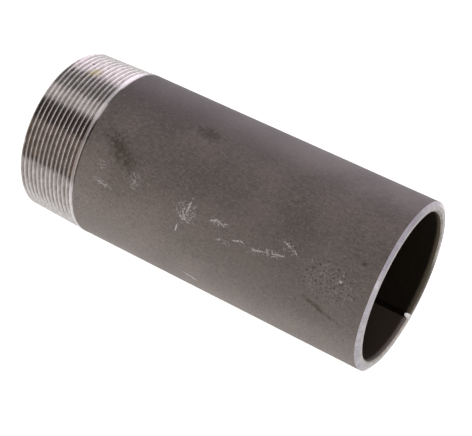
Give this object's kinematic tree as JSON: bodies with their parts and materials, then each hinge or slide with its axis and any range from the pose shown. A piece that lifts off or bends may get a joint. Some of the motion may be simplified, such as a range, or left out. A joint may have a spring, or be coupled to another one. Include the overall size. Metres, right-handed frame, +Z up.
{
  "type": "threaded pipe nipple",
  "caption": "Short welded steel pipe with a right-hand external taper pipe thread at one end, a plain bevelled end for welding at the other, and an open bore.",
  "frame": {"origin": "on the pipe's axis at the threaded end, where the screwed joint that holds the nipple is", "axes": "+X along the pipe from the threaded end towards the weld end, +Z up, +Y across the pipe"},
  "size_m": [0.17, 0.076, 0.076],
  "materials": {
    "pipe_wall": "black mill scale, matt, with bright cut thread and bevel",
    "weld_seam": "dark weld bead in the bore, trimmed flush outside"
  },
  "bodies": {
    "root": {"pipe_wall": "pipe_wall", "weld_seam": "weld_seam"}
  },
  "joints": []
}
